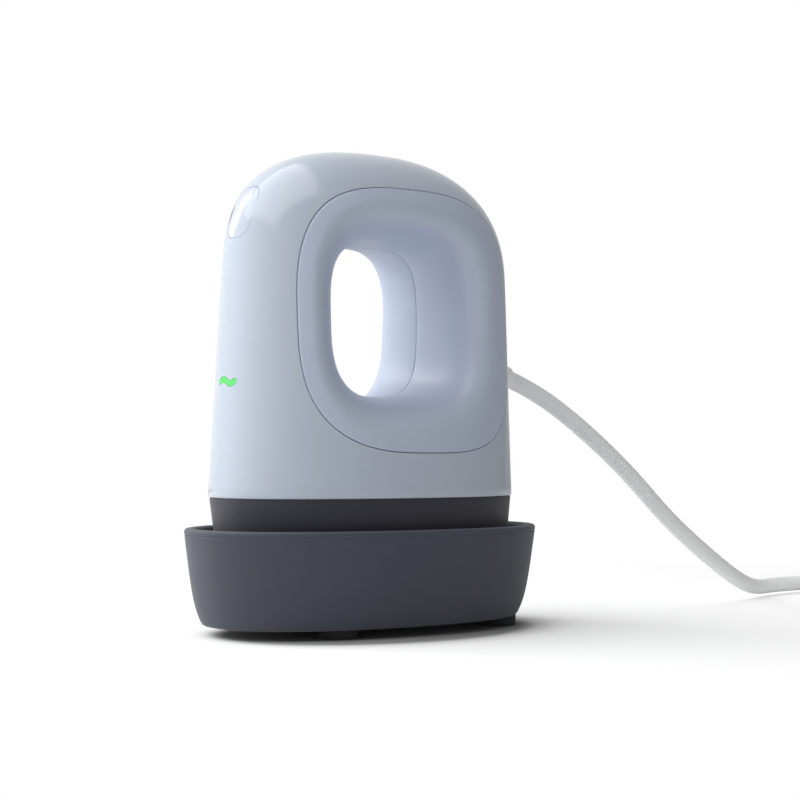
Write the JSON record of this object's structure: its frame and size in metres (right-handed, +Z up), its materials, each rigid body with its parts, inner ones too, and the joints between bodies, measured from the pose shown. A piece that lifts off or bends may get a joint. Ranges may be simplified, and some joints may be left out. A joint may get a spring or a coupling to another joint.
{
  "type": "heat press",
  "caption": "Small hand-held heat press with a hooded body and a see-through grip, standing in its rest tray, with a mains cord wound into a coil.",
  "frame": {"origin": "on the floor under the middle of the rest tray", "axes": "+Z up, -X towards the nose with the button, +X towards the cord, +Y the left side seen from behind"},
  "size_m": [0.3131, 0.1104, 0.1343],
  "materials": {
    "shell_gloss": "high gloss",
    "insert_satin": "satin",
    "skirt_speckle": "fine speckle, satin",
    "tray_slate": "matte",
    "liner_black": "heat-proof moulding",
    "foot_rubber": "matte",
    "cord_sheath": "satin sheath",
    "tie_rubber": "matte",
    "plate_metal": "cast, ground sole",
    "sheath_steel": "tube sheath",
    "bright_steel": "machined",
    "zinc_screw": "zinc plated",
    "blade_brass": "plated",
    "pad_fibre": "ceramic fibre felt",
    "sensor_body": "glazed bead",
    "wire_sleeve": "silicone insulation",
    "chassis_nylon": "glass-filled nylon",
    "board_laminate": "printed circuit board",
    "part_black": "moulded",
    "part_blue": "moulded",
    "part_green": "moulded",
    "fuse_glass": "clear tube",
    "plunger_white": "moulded",
    "ribbon_grey": "flat cable",
    "light_green": "lit window"
  },
  "bodies": {
    "tray": {"rest_tray": "tray_slate", "tray_feet": "foot_rubber", "tray_screws": "zinc_screw", "rest_liner": "liner_black", "cord_coil": "cord_sheath", "cord_tie": "tie_rubber", "plug_body": "cord_sheath", "plug_blades": "blade_brass"},
    "press": {"base_skirt": "skirt_speckle", "board_fuse": "fuse_glass", "board_screws": "zinc_screw", "button_board": "board_laminate", "chassis": "chassis_nylon", "clamp_screws": "zinc_screw", "controller_chip": "part_black", "cord_clamp": "chassis_nylon", "cord_lead": "cord_sheath", "cord_mast": "chassis_nylon", "element_pins": "bright_steel", "film_capacitor": "part_blue", "grip_insert_left": "insert_satin", "grip_insert_right": "insert_satin", "heat_plate": "plate_metal", "heat_shield": "bright_steel", "heater_wires": "wire_sleeve", "heating_element": "sheath_steel", "insulation_pad": "pad_fibre", "light_board": "board_laminate", "light_window": "light_green", "main_board": "board_laminate", "mains_wires": "wire_sleeve", "mast_screws": "zinc_screw", "nose_mast": "chassis_nylon", "outer_shell": "shell_gloss", "plate_screws": "zinc_screw", "plate_standoffs": "bright_steel", "power_converter": "part_black", "power_cord": "cord_sheath", "relay": "part_black", "ribbon_cable": "ribbon_grey", "sensor_clips": "bright_steel", "sensor_wires": "wire_sleeve", "shell_screws": "zinc_screw", "status_led": "light_green", "strain_relief": "cord_sheath", "switch_case": "part_black", "temperature_sensor": "sensor_body", "terminal_block": "part_green", "thermal_cutoff": "sensor_body"},
    "button": {"power_button": "shell_gloss"},
    "plunger": {"switch_plunger": "plunger_white"}
  },
  "joints": [
    {"name": "press_lift", "type": "slide", "parent": "tray", "child": "press", "axis": [0, 0, 1], "range_m": [0, 0.045]},
    {"name": "button_press", "type": "slide", "parent": "press", "child": "button", "axis": [0.9396, 0, -0.3424], "range_m": [0, 0.0007], "stiffness_N_per_m": 2000, "springref_m": -0.0003},
    {"name": "plunger_press", "type": "slide", "parent": "press", "child": "plunger", "axis": [0.9396, 0, -0.3424], "range_m": [0, 0.0007]}
  ],
  "couplings": [
    {"joint": "plunger_press", "follows": "button_press", "ratio": 1}
  ]
}
